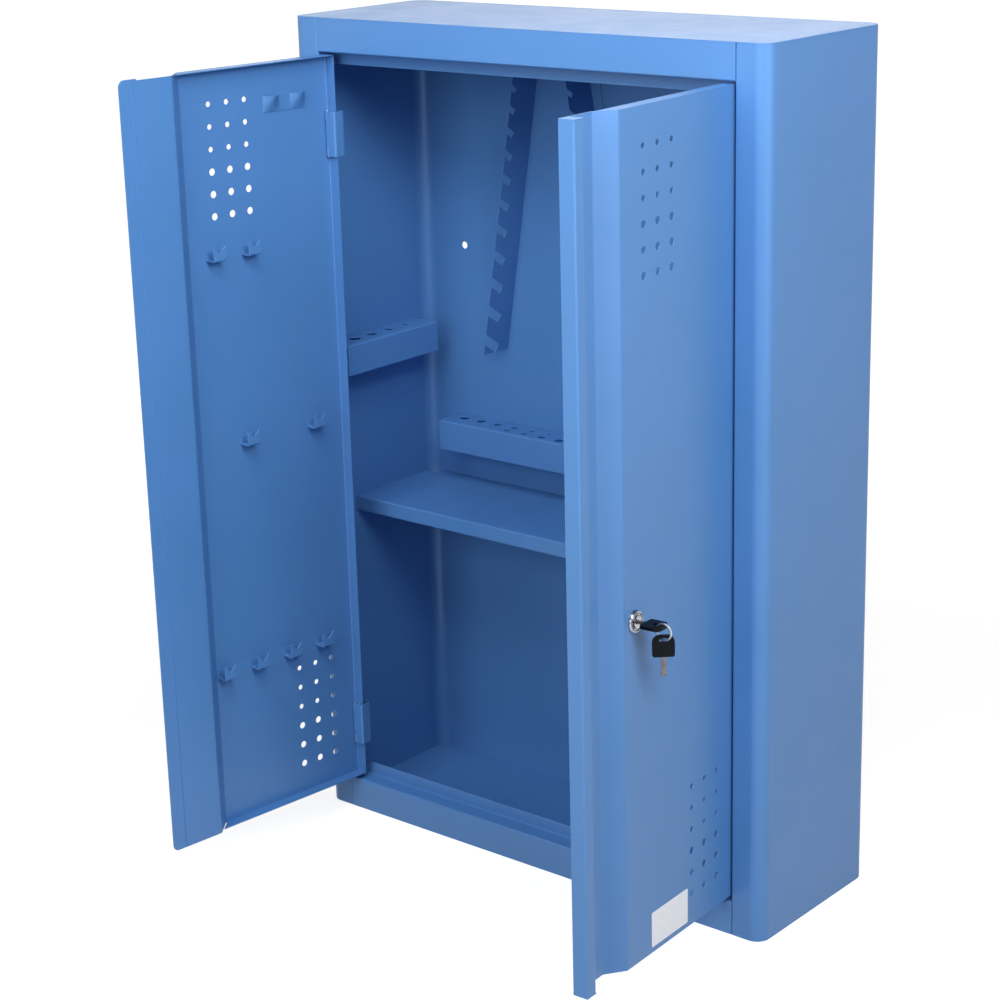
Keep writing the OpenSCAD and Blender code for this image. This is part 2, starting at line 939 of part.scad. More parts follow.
module lock_plug() {
  color(steel)
    on_plug()
      difference() {
        union() {
          translate([0, barrel_l + 0.3, 0])
            rotate([90, 0, 0])
              cylinder(d = plug_d, h = barrel_l + 0.3 + bezel_t + 0.6);
          translate([-4, barrel_l, -4])
            cube([8, cam_y + cam_t - barrel_l, 8]);
        }
        translate([-blade_w / 2 - blade_clear, -bezel_t - 2, -blade_t / 2 - blade_clear])
          cube([blade_w + 2 * blade_clear, bezel_t + 2 + 13, blade_t + 2 * blade_clear]);
      }
}

// The cam hangs down when unlocked and points at the left door when locked.
module lock_cam() {
  color(steel)
    on_plug()
      difference() {
        union() {
          translate([-cam_w / 2, cam_y, -cam_l])
            cube([cam_w, cam_t, cam_l]);
          translate([0, cam_y, 0])
            rotate([-90, 0, 0])
              cylinder(d = cam_w + 4, h = cam_t);
        }
        translate([-4, cam_y - 1, -4])
          cube([8, cam_t + 2, 8]);
      }
}

module cam_screw() {
  color(steel)
    on_plug()
      translate([0, cam_y + cam_t, 0])
        rotate([-90, 0, 0])
          difference() {
            cylinder(d = 13, h = 3);
            translate([0, 0, 2])
              cube([16, 1.4, 3], center = true);
          }
}

// Key blade with a few cuts, pointing along +Y into the plug.
module blade(l) {
  translate([-blade_w / 2, -l, -blade_t / 2])
    difference() {
      cube([blade_w, l, blade_t]);
      for (i = [0:3])
        translate([-0.6, l - 6 - i * 3.5, -1])
          cube([1.4 + 0.4 * (i % 2), 1.8, blade_t + 2]);
    }
}

// Key head from y = 0 outward to -head_l, with a flat-sided hole near its end.
module head() {
  difference() {
    intersection() {
      translate([-head_w / 2, -head_l, -head_t / 2])
        cube([head_w, head_l, head_t]);
      translate([0, -head_l / 2 + 2, -head_t])
        cylinder(d = head_l + 7, h = 2 * head_t);
    }
    intersection() {
      translate([-6, -head_l + bridge, -head_t])
        cube([12, 9.6, 2 * head_t]);
      translate([0, -head_l + bridge + 4.8, -head_t])
        cylinder(d = 11, h = 2 * head_t);
    }
    translate([-blade_w / 2, -6, -blade_t / 2])
      cube([blade_w, 7, blade_t]);
  }
}

module key_blade() {
  color(steel)
    on_plug()
      translate([0, 9, 0])
        blade(24.4);
}

module key_head() {
  color(black)
    on_plug()
      translate([0, head_y, 0])
        head();
}

// Places a shape at the centre of the ring, hanging upright under the key.
module at_ring() {
  on_right()
    translate([lock_x, bar_y, lock_z - ring_drop])
      children();
}

module split_ring() {
  color(steel)
    at_ring()
      rotate([0, 90, 0])
        rotate_extrude()
          translate([ring_r, 0])
            circle(d = wire_d);
}

// Places the spare key upright on the bottom of the ring.
module at_spare() {
  at_ring()
    translate([0, 0, -ring_r + wire_d / 2 + spare_seat + bridge - head_l])
      rotate([0, 0, spare_turn])
        rotate([90, 0, 0])
          mirror([0, 1, 0])
            children();
}

module spare_key_head() {
  color(black)
    at_spare()
      head();
}

module spare_key_blade() {
  color(steel)
    at_spare()
      translate([0, spare_drop, 0])
        blade(spare_drop + 5.4);
}

module blank_label() {
  color(paper)
    on_right()
      translate([slant_x + label_in, -label_t, door_low + label_rise])
        cube([label_w, label_t, label_h]);
}

left_wall();
right_wall();
back_panel();
top_panel();
header_rail();
sill_rail();
floor_panel();
shelf();
shelf_bracket_left();
shelf_bracket_right();
side_tool_rack();
back_tool_rack();
spanner_rack_left();
spanner_rack_right();
frame_hinge_upper_left();
frame_hinge_lower_left();
frame_hinge_upper_right();
frame_hinge_lower_right();
hinge_pin_upper_left();
hinge_pin_lower_left();
hinge_pin_upper_right();
hinge_pin_lower_right();
left_door_panel();
left_door_lip();
door_hinge_upper_left();
door_hinge_lower_left();
hook_upper_1();
hook_upper_2();
hook_middle_1();
hook_middle_2();
hook_lower_1();
hook_lower_2();
hook_lower_3();
hook_lower_4();
loop_bracket();
right_door_panel();
door_hinge_upper_right();
door_hinge_lower_right();
lock_housing();
lock_nut();
blank_label();
lock_plug();
lock_cam();
cam_screw();
key_blade();
key_head();
split_ring();
spare_key_blade();
spare_key_head();
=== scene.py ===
import bpy
import bmesh
import json
import math
from itertools import product
from mathutils import Euler, Matrix, Vector


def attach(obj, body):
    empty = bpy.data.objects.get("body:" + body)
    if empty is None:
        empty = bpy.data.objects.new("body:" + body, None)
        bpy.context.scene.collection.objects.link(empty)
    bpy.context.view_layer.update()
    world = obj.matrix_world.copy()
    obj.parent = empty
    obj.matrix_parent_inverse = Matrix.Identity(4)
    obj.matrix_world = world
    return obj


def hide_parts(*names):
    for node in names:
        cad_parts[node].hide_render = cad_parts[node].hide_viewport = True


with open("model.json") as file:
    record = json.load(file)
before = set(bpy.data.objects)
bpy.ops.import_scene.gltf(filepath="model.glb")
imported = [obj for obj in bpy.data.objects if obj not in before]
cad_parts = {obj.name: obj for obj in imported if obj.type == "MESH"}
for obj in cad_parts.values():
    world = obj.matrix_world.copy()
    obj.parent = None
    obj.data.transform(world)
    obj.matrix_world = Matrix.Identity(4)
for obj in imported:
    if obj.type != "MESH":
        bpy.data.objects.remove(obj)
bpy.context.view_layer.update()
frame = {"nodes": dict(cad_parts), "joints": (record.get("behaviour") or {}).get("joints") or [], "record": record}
mm = 0.001
record = frame["record"]
joints = {joint["name"]: joint for joint in frame["joints"]}
slotOf = {part["node"]: part["material_slot"] for part in record["subparts"]}
bodyOf = {node: body for body, nodes in record["behaviour"]["bodies"].items() for node in nodes}
print("frame loaded:", len(frame["nodes"]), "CAD nodes")


def linearColour(code):
    parts = [int(code[i:i + 2], 16) / 255 for i in (1, 3, 5)]
    return [c / 12.92 if c <= 0.04045 else ((c + 0.055) / 1.055) ** 2.4 for c in parts] + [1.0]


def linkInputs(owner, node, links):
    for name, source in links.items():
        owner.node_tree.links.new(source, node.inputs[name])


# The owner is a material or the world. A setting is an input of the node or one of its properties, and a ramp
# takes its stops as (place, colour).
def addNode(owner, kind, settings={}, links={}):
    node = owner.node_tree.nodes.new("ShaderNode" + kind)
    for name, value in settings.items():
        if name == "stops":
            for element, (place, code) in zip(node.color_ramp.elements, value):
                element.position = place
                element.color = linearColour(code)
        elif name in node.inputs:
            node.inputs[name].default_value = value
        else:
            setattr(node, name, value)
    linkInputs(owner, node, links)
    return node


def newMaterial(name, settings):
    material = bpy.data.materials.new(name)
    material.use_nodes = True
    shader = material.node_tree.nodes["Principled BSDF"]
    for socket, value in settings.items():
        shader.inputs[socket].default_value = value
    return material, shader


# Powder coat on steel sheet: semi-gloss, with the soft orange peel that baked powder leaves,
# faint cloudiness in its colour, and dull rubbed patches where hands and tools touch it.
powderCoatLook = {
    "cloudy": ["#4B7EB8", "#4E80BC"],
    "cloudSize": 140 * mm,
    "peelSize": 2.6 * mm,  # real peel is about 1 mm, drawn coarser so that it shows
    "peelDepth": 0.035 * mm,
    "rubSize": 34 * mm,
    "roughness": [0.38, 0.44],
}


def makePowderCoat(look):
    material, shader = newMaterial("powderCoat", {"IOR": 1.5})
    place = addNode(material, "TexCoord").outputs["Object"]
    cloud = addNode(material, "TexNoise", {"Scale": 1 / look["cloudSize"], "Detail": 3.0}, {"Vector": place})
    low, high = look["cloudy"]
    colour = addNode(material, "ValToRGB", {"stops": [(0.35, low), (0.65, high)]},
                     {"Fac": cloud.outputs["Fac"]})
    rub = addNode(material, "TexNoise", {"Scale": 1 / look["rubSize"], "Detail": 5.0, "Roughness": 0.62},
                  {"Vector": place})
    smooth, dull = look["roughness"]
    gloss = addNode(material, "MapRange",
                    {"From Min": 0.4, "From Max": 0.7, "To Min": smooth, "To Max": dull},
                    {"Value": rub.outputs["Fac"]})
    peel = addNode(material, "TexNoise", {"Scale": 1 / look["peelSize"], "Detail": 1.5}, {"Vector": place})
    bump = addNode(material, "Bump", {"Strength": 0.6, "Distance": look["peelDepth"]},
                   {"Height": peel.outputs["Fac"]})
    linkInputs(material, shader, {"Base Color": colour.outputs["Color"], "Roughness": gloss.outputs["Result"],
                                  "Normal": bump.outputs["Normal"]})
    return material


# Bare metals share one recipe: a tint that drifts over the surface, and fine marks that can run one way. On chrome
# the drifting tint is partly the plating's own colour and partly a painted reflection of a dark room.
metalLooks = {
    # bright zinc plating on pins, nut, cam and ring: slightly blue, with soft cloudy gloss
    "zincPlate": {"tint": ["#AEB4BC", "#C6CACF"], "driftSize": 6 * mm, "markStretch": (1, 1, 1),
                  "markSize": 1.2 * mm, "markDepth": 0.01 * mm, "roughness": [0.24, 0.38]},
    # polished chrome on the die-cast lock: nearly a mirror, with faint wiping marks; its tint is darker than bare
    # chrome and drifts in dark and light patches, partly the plating's own colour and partly a painted reflection
    # of a dark room
    "chromePlate": {"tint": ["#8A8D96", "#C4C7CE"], "driftSize": 5 * mm, "markStretch": (1, 1, 6),
                    "markSize": 0.9 * mm, "markDepth": 0.004 * mm, "roughness": [0.07, 0.14]},
    # nickel silver key blades: dull grey, milled along their length
    "nickelSilver": {"tint": ["#67626A", "#7F7880"], "driftSize": 5 * mm, "markStretch": (1, 1, 0.15),
                     "markSize": 0.5 * mm, "markDepth": 0.02 * mm, "roughness": [0.26, 0.42]},
}


def makeMetal(name):
    look = metalLooks[name]
    material, shader = newMaterial(name, {"Metallic": 1.0})
    place = addNode(material, "TexCoord").outputs["Object"]
    # the drift mixes the two tints; on chrome its darker patches are a painted reflection of a dark room, not the
    # metal's own colour
    drift = addNode(material, "TexNoise", {"Scale": 1 / look["driftSize"], "Detail": 4.0}, {"Vector": place})
    low, high = look["tint"]
    colour = addNode(material, "ValToRGB", {"stops": [(0.3, low), (0.7, high)]},
                     {"Fac": drift.outputs["Fac"]})
    stretched = addNode(material, "Mapping", {"Scale": look["markStretch"]}, {"Vector": place})
    marks = addNode(material, "TexNoise", {"Scale": 1 / look["markSize"], "Detail": 2.0},
                    {"Vector": stretched.outputs["Vector"]})
    smooth, dull = look["roughness"]
    gloss = addNode(material, "MapRange",
                    {"From Min": 0.3, "From Max": 0.7, "To Min": smooth, "To Max": dull},
                    {"Value": marks.outputs["Fac"]})
    bump = addNode(material, "Bump", {"Strength": 0.5, "Distance": look["markDepth"]},
                   {"Height": marks.outputs["Fac"]})
    linkInputs(material, shader, {"Base Color": colour.outputs["Color"], "Roughness": gloss.outputs["Result"],
                                  "Normal": bump.outputs["Normal"]})
    return material


# Moulded ABS of the key heads: near black, with the fine spark grain of its mould.
plasticLook = {
    "colours": ["#04060C", "#090C14"],
    "driftSize": 8 * mm,
    "grainSize": 0.7 * mm,
    "grainDepth": 0.02 * mm,
    "roughness": [0.3, 0.42],
}


def makePlastic(look):
    material, shader = newMaterial("blackAbs", {"IOR": 1.53, "Specular IOR Level": 0.1})
    place = addNode(material, "TexCoord").outputs["Object"]
    drift = addNode(material, "TexNoise", {"Scale": 1 / look["driftSize"], "Detail": 2.0}, {"Vector": place})
    low, high = look["colours"]
    colour = addNode(material, "ValToRGB", {"stops": [(0.35, low), (0.65, high)]},
                     {"Fac": drift.outputs["Fac"]})
    grain = addNode(material, "TexVoronoi", {"Scale": 1 / look["grainSize"]}, {"Vector": place})
    bump = addNode(material, "Bump", {"Strength": 0.5, "Distance": look["grainDepth"]},
                   {"Height": grain.outputs["Distance"]})
    smooth, dull = look["roughness"]
    gloss = addNode(material, "MapRange", {"To Min": smooth, "To Max": dull}, {"Value": drift.outputs["Fac"]})
    linkInputs(material, shader, {"Base Color": colour.outputs["Color"], "Roughness": gloss.outputs["Result"],
                                  "Normal": bump.outputs["Normal"]})
    return material


# Coated label paper: white with faint fibre mottling, a satin surface and slightly lifted fibres.
labelLook = {
    "colours": ["#EDF0F6", "#F4F6FA"],
    "mottleSize": 5 * mm,
    "fibreSize": 0.8 * mm,
    "fibreDepth": 0.02 * mm,
    "roughness": [0.42, 0.58],
}


def makeLabelPaper(look):
    material, shader = newMaterial("labelPaper", {"IOR": 1.48})
    place = addNode(material, "TexCoord").outputs["Object"]
    mottle = addNode(material, "TexNoise", {"Scale": 1 / look["mottleSize"], "Detail": 4.0},
                     {"Vector": place})
    low, high = look["colours"]
    colour = addNode(material, "ValToRGB", {"stops": [(0.3, low), (0.7, high)]},
                     {"Fac": mottle.outputs["Fac"]})
    fibre = addNode(material, "TexNoise", {"Scale": 1 / look["fibreSize"], "Detail": 3.0}, {"Vector": place})
    smooth, dull = look["roughness"]
    gloss = addNode(material, "MapRange", {"To Min": smooth, "To Max": dull}, {"Value": fibre.outputs["Fac"]})
    bump = addNode(material, "Bump", {"Strength": 0.4, "Distance": look["fibreDepth"]},
                   {"Height": fibre.outputs["Fac"]})
    linkInputs(material, shader, {"Base Color": colour.outputs["Color"], "Roughness": gloss.outputs["Result"],
                                  "Normal": bump.outputs["Normal"]})
    return material


finishes = {
    "blue_paint": makePowderCoat(powderCoatLook),
    "zinc_steel": makeMetal("zincPlate"),
    "lock_chrome": makeMetal("chromePlate"),
    "key_steel": makeMetal("nickelSilver"),
    "black_plastic": makePlastic(plasticLook),
    "white_label": makeLabelPaper(labelLook),
}
print("finishes made")


def addObject(name, data):
    thing = bpy.data.objects.new(name, data)
    bpy.context.scene.collection.objects.link(thing)
    return thing


def addMesh(name, bm, material):
    mesh = bpy.data.meshes.new(name)
    bm.to_mesh(mesh)
    bm.free()
    mesh.materials.append(material)
    return addObject(name, mesh)


# puts a finished mesh into the scene in place of a CAD node
def standFor(bm, pieceName, nodeName):
    piece = addMesh(pieceName, bm, finishes[slotOf[nodeName]])
    piece.data.shade_smooth()
    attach(piece, bodyOf[nodeName])
    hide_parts(nodeName)
    return piece


# the width is in metres, and edges that turn by more than the angle in degrees are rounded
def roundEdges(piece, width, segments, angle):
    bevel = piece.modifiers.new("softEdges", "BEVEL")
    bevel.width = width
    bevel.segments = segments
    bevel.limit_method = "ANGLE"
    bevel.angle_limit = math.radians(angle)
    bevel.harden_normals = True
    bevel.miter_outer = "MITER_ARC"
    flatten = piece.modifiers.new("flatSheets", "WEIGHTED_NORMAL")
    flatten.keep_sharp = True
    flatten.weight = 100


# points this near are one, and facets within this many degrees are one flat face
cadRepair = {"merge": 0.002 * mm, "flat": 0.3}


def cadMesh(nodeName):
    bm = bmesh.new()
    bm.from_mesh(frame["nodes"][nodeName].data)
    bmesh.ops.remove_doubles(bm, verts=bm.verts, dist=cadRepair["merge"])
    flat = math.radians(cadRepair["flat"])
    bmesh.ops.dissolve_limit(bm, angle_limit=flat, verts=bm.verts, edges=bm.edges)
    return bm


def camelCase(nodeName):
    first, *others = nodeName.split("_")
    return first + "".join(word.capitalize() for word in others)


# every sheet, pin and small part gets the slightly rounded, paint-filled edges of the real one
edgeSettings = {
    "blue_paint": {"width": 0.3 * mm, "segments": 2, "angle": 28},
    "zinc_steel": {"width": 0.3 * mm, "segments": 2, "angle": 35},
    "lock_chrome": {"width": 0.25 * mm, "segments": 2, "angle": 35},
    "key_steel": {"width": 0.15 * mm, "segments": 2, "angle": 35},
}
# paint bridges the joint of these two, so their edges stay tight
weldedSheets = ["right_wall", "sill_rail"]
weldedEdge = {**edgeSettings["blue_paint"], "width": 0.06 * mm}
# these are shaped further on
ownShape = ["loop_bracket", "lock_housing", "split_ring", "blank_label",
            "key_head", "spare_key_head", "key_blade", "spare_key_blade"]
for nodeName in frame["nodes"]:
    if nodeName not in ownShape:
        piece = standFor(cadMesh(nodeName), camelCase(nodeName), nodeName)
        usualEdge = edgeSettings[slotOf[nodeName]]
        roundEdges(piece, **(weldedEdge if nodeName in weldedSheets else usualEdge))
print("sheets and small parts dressed")


# the lock's own axes on the open door: X along the door, Y into it, Z up
lockJoint = joints["lock_turn"]
into = Vector(lockJoint["axis"])
up = Vector((0, 0, 1))
lockAxes = Matrix((into.cross(up), into, up)).transposed().to_4x4()
lockPlace = Matrix.Translation(lockJoint["pos_m"]) @ lockAxes
ringCentre = lockPlace.inverted() @ Vector(joints["spare_key_swing"]["pos_m"])


# two opposite corners of a CAD node's box, along the axes of a place
def localBox(nodeName, place):
    turned = [place.inverted() @ vertex.co for vertex in frame["nodes"][nodeName].data.vertices]
    low = Vector([min(point[i] for point in turned) for i in range(3)])
    high = Vector([max(point[i] for point in turned) for i in range(3)])
    return low, high


# Loop bracket: one strap pressed out into two pockets, and flush with the door at its ends, its middle and
# its foot. The plate and the tab are in mm, and the flush and bulging depths are shares of the CAD strap's.
pocket = {"doorTurn": -96, "plateHeight": 17, "tabWidth": 15, "flush": 0.06, "bulge": 0.92, "fall": 1.1,
          "stripsAlong": 30, "stripsUp": 6}


def makeLoopBracket(look):
    place = Matrix.Rotation(math.radians(look["doorTurn"]), 4, "Z")
    low, high = localBox("loop_bracket", place)
    bm = cadMesh("loop_bracket")
    bmesh.ops.transform(bm, matrix=place.inverted(), verts=bm.verts)
    strap = high.x - low.x
    plate = look["plateHeight"] * mm
    stripsBy = {(1, 0, 0): (strap, look["stripsAlong"]), (0, 0, 1): (plate, look["stripsUp"])}
    for normal, (length, strips) in stripsBy.items():
        for step in range(1, strips):
            bmesh.ops.bisect_plane(bm, geom=bm.faces[:] + bm.edges[:] + bm.verts[:],
                                   plane_co=low + Vector(normal) * length * step / strips, plane_no=normal)
    loop = (strap - look["tabWidth"] * mm) / 2
    for vertex in bm.verts:
        fromEnd = min(vertex.co.x - low.x, high.x - vertex.co.x)
        bump = math.sin(math.pi * min(1, max(0, fromEnd / loop)))
        height = min(1, max(0, (vertex.co.z - low.z) / plate))
        share = look["flush"] + look["bulge"] * bump * height ** look["fall"]
        vertex.co.y = low.y + (vertex.co.y - low.y) * share
    bmesh.ops.transform(bm, matrix=place, verts=bm.verts)
    roundEdges(standFor(bm, "loopBracket", "loop_bracket"), **edgeSettings["blue_paint"])


makeLoopBracket(pocket)

# Bezel and barrel, turned from one profile: rolled outer rim, groove, second bead and a gap round the plug.
lockRim = {
    # radius and depth of each corner in mm, outside first
    "profile": [(9, 17), (9, 0), (11, 0), (11, -1.2), (10.6, -2.2), (10, -2.8), (9.4, -3), (8.9, -2.8),
                (8.7, -1), (8, -1), (7.8, -2.6), (7.2, -2.9), (6.6, -2.6), (6.5, -0.6), (6.05, -0.6),
                (6.05, 17)],
    "steps": 72,
    "softEdge": {"width": 0.12 * mm, "segments": 2, "angle": 25},
}


def makeLockRim(rim):
    bm = bmesh.new()
    corners = [bm.verts.new((radius * mm, depth * mm, 0)) for radius, depth in rim["profile"]]
    edges = [bm.edges.new((a, b)) for a, b in zip(corners, corners[1:] + corners[:1])]
    bmesh.ops.spin(bm, geom=corners + edges, cent=(0, 0, 0), axis=(0, 1, 0), angle=math.tau,
                   steps=rim["steps"], use_merge=True)
    bmesh.ops.recalc_face_normals(bm, faces=bm.faces)
    bmesh.ops.transform(bm, matrix=lockPlace, verts=bm.verts)
    roundEdges(standFor(bm, "lockRim", "lock_housing"), **rim["softEdge"])


makeLockRim(lockRim)


# a flat rectangle round the origin, across X and along Y
def addRectangle(bm, wide, long):
    made = bmesh.ops.create_grid(bm, x_segments=1, y_segments=1, size=0.5)
    bmesh.ops.scale(bm, vec=(wide, long, 1), verts=made["verts"])
    return made["verts"]


# Split ring: flat wire wound twice, its two ends cut square.
ringLook = {"radius": 7.9 * mm, "wireWidth": 1.7 * mm, "wireThick": 0.84 * mm, "wireCorner": 0.3 * mm,
            "cornerSteps": 3, "turns": 1.94, "steps": 120, "merge": 0.001 * mm}


def makeSplitRing(look):
    bm = bmesh.new()
    addRectangle(bm, look["wireThick"], look["wireWidth"])
    bmesh.ops.bevel(bm, geom=bm.verts[:], offset=look["wireCorner"], affect="VERTICES",
                    segments=look["cornerSteps"], profile=0.5, material=-1)
    climb = look["turns"] * look["wireThick"]
    bmesh.ops.translate(bm, vec=(-climb / 4, look["radius"], 0), verts=bm.verts)
    bmesh.ops.spin(bm, geom=bm.faces[:] + bm.edges[:] + bm.verts[:], cent=(0, 0, 0), axis=(1, 0, 0),
                   angle=math.tau * look["turns"], steps=look["steps"], dvec=(climb / look["steps"], 0, 0))
    bmesh.ops.remove_doubles(bm, verts=bm.verts, dist=look["merge"])
    bmesh.ops.recalc_face_normals(bm, faces=bm.faces)
    bmesh.ops.transform(bm, matrix=lockPlace @ Matrix.Translation(ringCentre), verts=bm.verts)
    standFor(bm, "splitRing", "split_ring")


makeSplitRing(ringLook)

# Label: thin paper with rounded corners.
labelShape = {"cornerRadius": 1.6 * mm, "cornerSteps": 5,
              "softEdge": {"width": 0.05 * mm, "segments": 1, "angle": 40}}
# a unit direction whose part along an axis is more than this lies along it
alongAxis = 0.9


def makeLabel(shape):
    low, high = localBox("blank_label", lockPlace)
    sheet = Matrix.Translation((low + high) / 2) @ Matrix.Diagonal((*(high - low), 1))
    bm = bmesh.new()
    bmesh.ops.create_cube(bm, size=1)
    bmesh.ops.transform(bm, matrix=sheet, verts=bm.verts)
    directions = [(edge, (edge.verts[0].co - edge.verts[1].co).normalized()) for edge in bm.edges]
    corners = [edge for edge, direction in directions if abs(direction.y) > alongAxis]
    bmesh.ops.bevel(bm, geom=corners, offset=shape["cornerRadius"], affect="EDGES",
                    segments=shape["cornerSteps"], profile=0.5, material=-1)
    bmesh.ops.transform(bm, matrix=lockPlace, verts=bm.verts)
    roundEdges(standFor(bm, "blankLabel", "blank_label"), **shape["softEdge"])


makeLabel(labelShape)

# Key heads: moulded plates with a slot for the ring near the free end, and short grip ribs beside the slot.
# As on the CAD head, the blade is at Y 0 and the free end at minus Y. Sizes are in mm and angles in degrees.
keyHead = {
    "width": 20.8, "start": 1.2, "length": 21, "thick": 3.5,
    "endRound": 7, "endSteps": 5, "neckCut": 1.4,
    "slotInset": 3,  # the outline drawn in by this is then stretched to the slot
    "ribRadii": [12.7, 10.7], "ribCentre": -9.2, "ribFrom": 22, "ribSweep": 28, "ribSteps": 8,
    "ribWidth": 0.9, "ribHeight": 0.5,
    "headY": -10, "spareTurn": -50,
    "softEdge": {"width": 0.4 * mm, "segments": 3, "angle": 30},
}
ringSlots = {
    "key_head": {"width": 5.4, "from": 10.3, "to": 19.6},
    "spare_key_head": {"width": 8, "from": 15.4, "to": 19.6},
}


def addRibs(bm, head):
    for side, hand, radius in product((-1, 1), (-1, 1), head["ribRadii"]):
        centre = Vector((0, head["ribCentre"] * mm, side * head["thick"] / 2 * mm))
        corners = addRectangle(bm, head["ribWidth"] * mm, 2 * head["ribHeight"] * mm)
        stand = (Matrix.Translation(centre)
                 @ Matrix.Rotation(math.radians(-90 + hand * head["ribFrom"]), 4, "Z")
                 @ Matrix.Translation((radius * mm, 0, 0)) @ Matrix.Rotation(math.radians(90), 4, "X"))
        bmesh.ops.transform(bm, matrix=stand, verts=corners)
        faces = corners[0].link_faces[:]
        bmesh.ops.spin(bm, geom=faces + faces[0].edges[:] + corners, cent=centre, axis=(0, 0, hand),
                       angle=math.radians(head["ribSweep"]), steps=head["ribSteps"])


def makeKeyHead(pieceName, nodeName, place, head):
    slot = ringSlots[nodeName]
    length, thick = head["length"] * mm, head["thick"] * mm
    middle = -head["start"] * mm - length / 2
    bm = bmesh.new()
    outline = addRectangle(bm, head["width"] * mm, length)
    bmesh.ops.translate(bm, vec=(0, middle, -thick / 2), verts=outline)
    freeEnd = [vertex for vertex in bm.verts if vertex.co.y < middle]
    bmesh.ops.bevel(bm, geom=freeEnd, offset=head["endRound"] * mm, affect="VERTICES",
                    segments=head["endSteps"], profile=0.5, material=-1)
    bladeEnd = [vertex for vertex in bm.verts if vertex.co.y > middle]
    bmesh.ops.bevel(bm, geom=bladeEnd, offset=head["neckCut"] * mm, affect="VERTICES", segments=1,
                    profile=0.5, material=-1)
    opening = bm.faces[:][0]
    bmesh.ops.inset_region(bm, faces=[opening], thickness=head["slotInset"] * mm, use_boundary=True)
    halfWide = max(vertex.co.x for vertex in opening.verts)
    halfLong = max(abs(vertex.co.y - middle) for vertex in opening.verts)
    for vertex in opening.verts:
        across = vertex.co.x / halfWide * slot["width"]
        along = (vertex.co.y - middle) / halfLong * (slot["to"] - slot["from"]) - (slot["to"] + slot["from"])
        vertex.co.x = across / 2 * mm
        vertex.co.y = along / 2 * mm
    bmesh.ops.delete(bm, geom=[opening], context="FACES_ONLY")
    made = bmesh.ops.extrude_face_region(bm, geom=bm.faces[:])
    upper = [part for part in made["geom"] if isinstance(part, bmesh.types.BMVert)]
    bmesh.ops.translate(bm, vec=(0, 0, thick), verts=upper)
    addRibs(bm, head)
    bmesh.ops.recalc_face_normals(bm, faces=bm.faces)
    bmesh.ops.transform(bm, matrix=place, verts=bm.verts)
    if place.determinant() < 0:  # a mirrored place turns the mesh inside out
        bmesh.ops.reverse_faces(bm, faces=bm.faces)
    roundEdges(standFor(bm, pieceName, nodeName), **head["softEdge"])


# Blades: the CAD's notched strip, narrowed to the slim profile that shows, with a groove milled in each face.
bladeCut = {"narrow": 0.74, "grooveWidth": 1.2 * mm, "grooveDepth": 0.35 * mm, "grooveInset": 0.15 * mm}


def flatFaces(bm):
    return [face for face in bm.faces if abs(face.normal.z) > alongAxis]


def makeBlade(pieceName, nodeName, place, look):
    bm = cadMesh(nodeName)
    bmesh.ops.transform(bm, matrix=place.inverted(), verts=bm.verts)
    bmesh.ops.scale(bm, vec=(look["narrow"], 1, 1), verts=bm.verts)
    halfGroove = look["grooveWidth"] / 2
    for side in (halfGroove, -halfGroove):
        parts = [part for face in flatFaces(bm) for part in (face, *face.edges, *face.verts)]
        bmesh.ops.bisect_plane(bm, geom=list(dict.fromkeys(parts)), plane_co=(side, 0, 0),
                               plane_no=(1, 0, 0))
    groove = [face for face in flatFaces(bm) if abs(face.calc_center_median().x) < halfGroove]
    bmesh.ops.inset_region(bm, faces=groove, thickness=look["grooveInset"], depth=-look["grooveDepth"])
    bmesh.ops.transform(bm, matrix=place, verts=bm.verts)
    roundEdges(standFor(bm, pieceName, nodeName), **edgeSettings["key_steel"])


headPlace = lockPlace @ Matrix.Translation((0, keyHead["headY"] * mm, 0))
spareLow = localBox("spare_key_head", lockPlace)[0]
# the spare key hangs blade down from the ring, turned about its length, with its own Y mirrored
sparePlace = (lockPlace @ Matrix.Translation((0, ringCentre.y, spareLow.z))
              @ Matrix.Rotation(math.radians(keyHead["spareTurn"]), 4, "Z")
              @ Matrix.Rotation(math.radians(90), 4, "X") @ Matrix.Diagonal((1, -1, 1, 1)))
makeKeyHead("keyHead", "key_head", headPlace, keyHead)
makeKeyHead("spareKeyHead", "spare_key_head", sparePlace, keyHead)
makeBlade("keyBlade", "key_blade", headPlace, bladeCut)
makeBlade("spareKeyBlade", "spare_key_blade", sparePlace, bladeCut)
print("lock, keys, ring and label made")


# camera, solved from the edges of the casing and both doors, with its turn in degrees and its lens in mm
cameraSettings = {"place": (1.46711, -1.97416, 1.13115), "turn": (72.7909, 1.4448, 39.7017),
                  "lens": 83.563, "sensor": 36.0, "farClip": 50}


def makeCamera(settings):
    data = bpy.data.cameras.new("camera")
    data.lens = settings["lens"]
    data.sensor_width = settings["sensor"]
    data.clip_end = settings["farClip"]
    camera = addObject("camera", data)
    camera.location = settings["place"]
    camera.rotation_euler = Euler([math.radians(angle) for angle in settings["turn"]])
    bpy.context.scene.camera = camera


makeCamera(cameraSettings)

# Floor and backdrop in one sweep, in metres. The camera and mirrors see it as paper that takes the shadow
# near the cabinet and turns plain white farther off.
stageLook = {"halfWidth": 15, "paper": "#A8A8A8", "glow": [0.78, 1.0], "shadowReach": [0.7, 1.9]}
white = linearColour("#FFFFFF")


